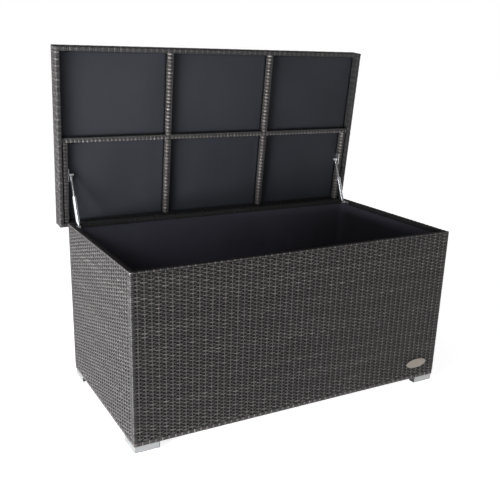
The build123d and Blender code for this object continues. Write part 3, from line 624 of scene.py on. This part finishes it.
# The third value paints the rim darker towards its inner face and down to the fabric, as painted shade.
lid_rim = [(0.0, 0.0065, 0.5), (0.0, 0.0, 0.6), (-LID_IN / 2, 0.0, 0.5), (-LID_IN, 0.0, 0.15),
           (-LID_IN, FABRIC, 0.0)]
wound_frame(s, LID_HALF, LID_D / 2, lid_rim, 1, LID_IN, radius=0.0045, proud_highlight=0.75)
finish_wicker(s, "lid_wound_rim", "lid_rim_wrap", "lid", on_lid)

s = Strands()
# The third value paints a highlight on the corner at -HALF_RIB, which is the left one on the long ribs where
# the key light falls. It paints shade on the other corner and down both sides to the fabric.
rib = [(HALF_RIB, FABRIC, 0.0), (HALF_RIB, RIB_LOW, 0.25), (0.0, RIB_LOW, 0.45), (-HALF_RIB, RIB_LOW, 1.2),
       (-HALF_RIB, FABRIC, 0.0)]
rib_kw = dict(pitch=0.00693, every=2, sink=0.0007, crown=0.0012, radius=0.0065, proud_highlight=0.75)
mid_v = CROSS_V + LID_D / 2
ALONG_V, ALONG_U = ((1, 0, 0), Z_UP, (0, 1, 0)), ((0, -1, 0), Z_UP, (1, 0, 0))
ends = LID_D / 2 - LID_IN
for u0 in (-RIB_X, RIB_X):
    wound(s, rib, 1, -ends, ends, (u0, 0, 0), ALONG_V, **rib_kw)
near, far = RIB_X - HALF_RIB, RIB_X + HALF_RIB
for a, b in ((-LID_HALF + LID_IN, -far), (-near, near), (far, LID_HALF - LID_IN)):
    wound(s, rib, 1, a, b, (0, mid_v, 0), ALONG_U, **dict(rib_kw, pitch=0.0079))
for u0 in (-SHORT_X, SHORT_X):
    wound(s, rib, 1, mid_v + HALF_RIB, ends, (u0, 0, 0), ALONG_V, **rib_kw)
finish_wicker(s, "lid_wound_ribs", "lid_rib_wraps", "lid", on_lid)


# ---- Fabric ----
def ripple(a, b, waves):
    """A smooth uneven surface from a few waves."""
    total = 0
    for amp, ka, kb, ph in waves:
        total = total + amp * np.sin(ka * a + kb * b + ph)
    return total


def sheet_grid(a, b):
    """Quads of a grid of len(a) by len(b) points."""
    i, j = np.meshgrid(np.arange(len(a) - 1), np.arange(len(b) - 1), indexing="ij")
    k = i * len(b) + j
    return np.stack([k, k + len(b), k + len(b) + 1, k + 1], -1).reshape(-1, 4)


PANEL_EDGE = 0.0153
CLOTH_T = 0.0012
core = 0.0083
outer = LID_HALF - PANEL_EDGE
cols_low = ((-outer, -RIB_X - core), (-RIB_X + core, RIB_X - core), (RIB_X + core, outer))
short = SHORT_X - core
cols_high = ((-short, -RIB_X - core), (-RIB_X + core, RIB_X - core), (RIB_X + core, short))
panel_rows = ((-LID_D + PANEL_EDGE, CROSS_V - core, cols_low), (CROSS_V + core, -PANEL_EDGE, cols_high))
for r, (v0, v1, cols) in enumerate(panel_rows):
    for c, (u0, u1) in enumerate(cols):
        a = np.linspace(u0 + 0.0004, u1 - 0.0004, 44)
        b = np.linspace(v0 + 0.0004, v1 - 0.0004, 36)
        A, B = np.meshgrid(a, b, indexing="ij")
        ea = np.minimum(A - u0, u1 - A)
        eb = np.minimum(B - v0, v1 - B)
        inside = smooth_step(np.minimum(ea, eb), 0.0, 0.10)
        phase = rng.random(4) * 6.3
        waves = [(0.0008, 9, 4, phase[0]), (0.0006, -6, 14, phase[1]), (0.0004, 31, 7, phase[2])]
        sag = -0.0022 * inside + ripple(A, B, waves) * smooth_step(np.minimum(ea, eb), 0.0, 0.03)
        W = FABRIC + 0.0004 + sag
        points = lid(np.stack([A, B, W], -1).reshape(-1, 3))
        obj = mesh_object(f"lid_fabric_{r}{c}", points, sheet_grid(a, b), (LID_CLOTH,))
        solid = obj.modifiers.new("thickness", "SOLIDIFY")
        solid.thickness = CLOTH_T
        solid.offset = 1.0
        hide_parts("lid_fabric")
        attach(obj, "lid")

# Liner: one bag, cut as a cross and sewn up its four corners
lin_low, lin_high = (np.array(p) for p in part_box("liner"))
hx = float(lin_high[0])
hy = float(lin_high[1] - lin_low[1]) / 2
z0 = float(lin_low[2]) + 0.0008
z1 = float(lin_high[2])
h = z1 - z0


def liner_outline(count=260, radius=0.022):
    """Points and inward normals round the bag in plan."""
    per = []
    straight_x, straight_y = 2 * (hx - radius), 2 * (hy - radius)
    arc = radius * math.pi / 2
    total = 2 * (straight_x + straight_y) + 4 * arc
    for d in np.linspace(0, total, count, endpoint=False):
        for quarter in range(4):
            run = straight_x if quarter % 2 == 0 else straight_y
            cx, cy = ((-1, -1), (1, -1), (1, 1), (-1, 1))[quarter]
            a0 = -math.pi / 2 + quarter * math.pi / 2
            if d < run:
                base = np.array([cx * (hx - radius), cy * (hy - radius)])
                n = np.array([math.cos(a0), math.sin(a0)])
                t = np.array([-n[1], n[0]])
                per.append((base + n * radius + t * d, -n, min(d, run - d)))
                break
            d -= run
            if d < arc:
                nx, ny = ((1, -1), (1, 1), (-1, 1), (-1, -1))[quarter]
                base = np.array([nx * (hx - radius), ny * (hy - radius)])
                a = a0 + d / radius
                n = np.array([math.cos(a), math.sin(a)])
                per.append((base + n * radius, -n, 0.0))
                break
            d -= arc
    return np.array([p[0] for p in per]), np.array([p[1] for p in per]), np.array([p[2] for p in per])


plan, inward, from_corner = liner_outline()
n = len(plan)
levels = np.linspace(0, 1, 40)
angle = np.arange(n) / n * 2 * math.pi
rings = []
CLEAR = 0.0012
SIDE_WAVES = [(0.0011, 9, 2.1, 0.3), (0.0008, 23, -3.0, 1.7), (0.0007, 41, 4.0, 4.0), (0.0005, 67, 9.0, 2.2)]
FLOOR_WAVES = [(0.0012, 13, 5, 0.4), (0.0009, -7, 17, 2.0)]
foot_r = 0.018
for t in levels:
    z = z0 + foot_r + (h - foot_r) * t
    hung = np.sin(np.pi * t) ** 0.7 if 0 < t < 1 else 0.0
    wave = ripple(angle, t, SIDE_WAVES)
    push = (CLEAR + (0.003 + wave * 1.6) * hung) * (0.35 + 0.65 * smooth_step(from_corner, 0.0, 0.08))
    p = plan + inward * np.maximum(push, 0.0004)[:, None]
    rings.append(np.column_stack([p, np.full(n, z)]))
floor_rings = []
for k in range(1, 4):
    a = k / 3 * math.pi / 2
    floor_rings.append((foot_r * (1 - math.cos(a)), z0 + foot_r * (1 - math.sin(a))))
low = [np.column_stack([plan + inward * (CLEAR + d), np.full(n, z)]) for d, z in floor_rings]
centre_plan = plan + inward * (CLEAR + foot_r)
for f in (0.85, 0.7, 0.5, 0.3, 0.12, 0.0):
    p = centre_plan * f
    zz = z0 + 0.0004 + np.abs(ripple(p[:, 0], p[:, 1], FLOOR_WAVES)) * (1 if f else 0)
    low.append(np.column_stack([p, zz]))
stack = np.array(low[::-1] + rings)
verts = stack.reshape(-1, 3) + BODY_SHIFT
i, j = np.meshgrid(np.arange(len(stack) - 1), np.arange(n), indexing="ij")
k = i * n + j
k2 = i * n + (j + 1) % n
quads = np.stack([k, k2, k2 + n, k + n], -1).reshape(-1, 4)
liner = mesh_object("liner_bag", verts, quads, (LINER,))
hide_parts("liner")
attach(liner, "base")

# ---- Badge: a blank domed oval ----
badge_low, badge_high = (np.array(p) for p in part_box("badge"))
badge_mid, badge_half = (badge_low + badge_high) / 2, (badge_high - badge_low) / 2
ring = np.linspace(0, 2 * math.pi, 72, endpoint=False)
radii = np.array([1.0, 1.0, 0.985, 0.95, 0.88, 0.78, 0.64, 0.48, 0.30, 0.12, 0.001])
rise = np.array([0.0, 0.28, 0.42, 0.54, 0.66, 0.77, 0.87, 0.94, 0.98, 1.0, 1.0])
rings = [np.column_stack([badge_mid[0] + badge_half[0] * r * np.cos(ring),
                          np.full(len(ring), badge_high[1] - 2 * badge_half[1] * t),
                          badge_mid[2] + badge_half[2] * r * np.sin(ring)]) for r, t in zip(radii, rise)]
i, j = np.meshgrid(np.arange(len(rings) - 1), np.arange(len(ring)), indexing="ij")
k, k2 = i * len(ring) + j, i * len(ring) + (j + 1) % len(ring)
quads = np.stack([k, k2, k2 + len(ring), k + len(ring)], -1).reshape(-1, 4)
badge = mesh_object("badge_dome", np.concatenate(rings), quads, (BADGE,))
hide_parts("badge")
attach(badge, "base")

# ---- Floor, light and camera ----
FLOOR_GLOW = 0.82
SKY_FROM, SKY_TO, CEILING = 0.10, 0.35, 0.18
KEY, FILL, SPOT = 540, 4, 130


def soft_light(name, place, target, size, power, colour=(1, 1, 1)):
    data = bpy.data.lights.new(name, "AREA")
    data.shape = "RECTANGLE"
    data.size, data.size_y = size
    data.energy = power
    data.color = colour
    obj = bpy.data.objects.new(name, data)
    obj.location = place
    obj.rotation_euler = (Vector(target) - Vector(place)).to_track_quat("-Z", "Y").to_euler()
    bpy.context.scene.collection.objects.link(obj)
    return obj


floor_mesh = bpy.data.meshes.new("floor")
floor_mesh.from_pydata([(-30, -30, 0), (30, -30, 0), (30, 30, 0), (-30, 30, 0)], [], [(0, 1, 2, 3)])
floor = bpy.data.objects.new("floor", floor_mesh)
bpy.context.scene.collection.objects.link(floor)
pale, tree, bsdf = new_material("pale_floor")
bsdf.inputs["Base Color"].default_value = (0.90, 0.90, 0.90, 1)
bsdf.inputs["Roughness"].default_value = 0.9
bsdf.inputs["Emission Color"].default_value = (1, 1, 1, 1)
bsdf.inputs["Emission Strength"].default_value = FLOOR_GLOW
floor_mesh.materials.append(pale)

world = bpy.data.worlds.new("studio")
world.use_nodes = True
tree = world.node_tree
sky = tree.nodes["Background"]
coords = tree.nodes.new("ShaderNodeTexCoord")
split = tree.nodes.new("ShaderNodeSeparateXYZ")
tree.links.new(coords.outputs["Generated"], split.inputs[0])
fall = tree.nodes.new("ShaderNodeMapRange")
fall.interpolation_type = "SMOOTHSTEP"
fall.inputs["From Min"].default_value = SKY_FROM
fall.inputs["From Max"].default_value = SKY_TO
fall.inputs["To Min"].default_value = 1.0
fall.inputs["To Max"].default_value = CEILING
tree.links.new(split.outputs[2], fall.inputs["Value"])
tree.links.new(fall.outputs[0], sky.inputs["Strength"])
sky.inputs["Color"].default_value = (1, 1, 1, 1)
bpy.context.scene.world = world

soft_light("key_left", (-4.0, -1.15, 0.45), (-0.2, 0, 0.5), (2.2, 0.7), KEY, (0.92, 0.96, 1.0))
spot_data = bpy.data.lights.new("lid_spot", "SPOT")
spot_data.energy = SPOT
spot_data.color = (0.85, 0.92, 1.0)
spot_data.spot_size = math.radians(42)
spot_data.spot_blend = 1.0
spot_data.shadow_soft_size = 0.35
spot = bpy.data.objects.new("lid_spot", spot_data)
spot.location = (-1.9, -1.3, 1.45)
spot.rotation_euler = (Vector((-0.55, 0.33, 0.98)) - spot.location).to_track_quat("-Z", "Y").to_euler()
bpy.context.scene.collection.objects.link(spot)
soft_light("fill_front", (-0.5, -5.0, 1.6), (0, 0, 0.5), (3.0, 2.0), FILL)

cam_data = bpy.data.cameras.new("camera")
cam_data.lens = 50.289
cam_data.sensor_width = 36
cam_data.shift_x = 0.0279
cam_data.shift_y = 0.0588
cam_data.clip_end = 100
camera = bpy.data.objects.new("camera", cam_data)
azimuth, elevation, roll = math.radians(-28.77), math.radians(18.22), math.radians(1.51)
back = Vector((math.sin(azimuth) * math.cos(elevation),
               -math.cos(azimuth) * math.cos(elevation), math.sin(elevation)))
right = Vector((0, 0, 1)).cross(back).normalized()
up = back.cross(right)
rolled_right = right * math.cos(roll) + up * math.sin(roll)
rolled_up = up * math.cos(roll) - right * math.sin(roll)
turned = Matrix((rolled_right, rolled_up, back)).transposed().to_4x4()
turned.translation = (-1.32991, -2.29139, 1.27577)
camera.matrix_world = turned
bpy.context.scene.collection.objects.link(camera)
bpy.context.scene.camera = camera
bpy.context.scene.view_settings.view_transform = "Standard"
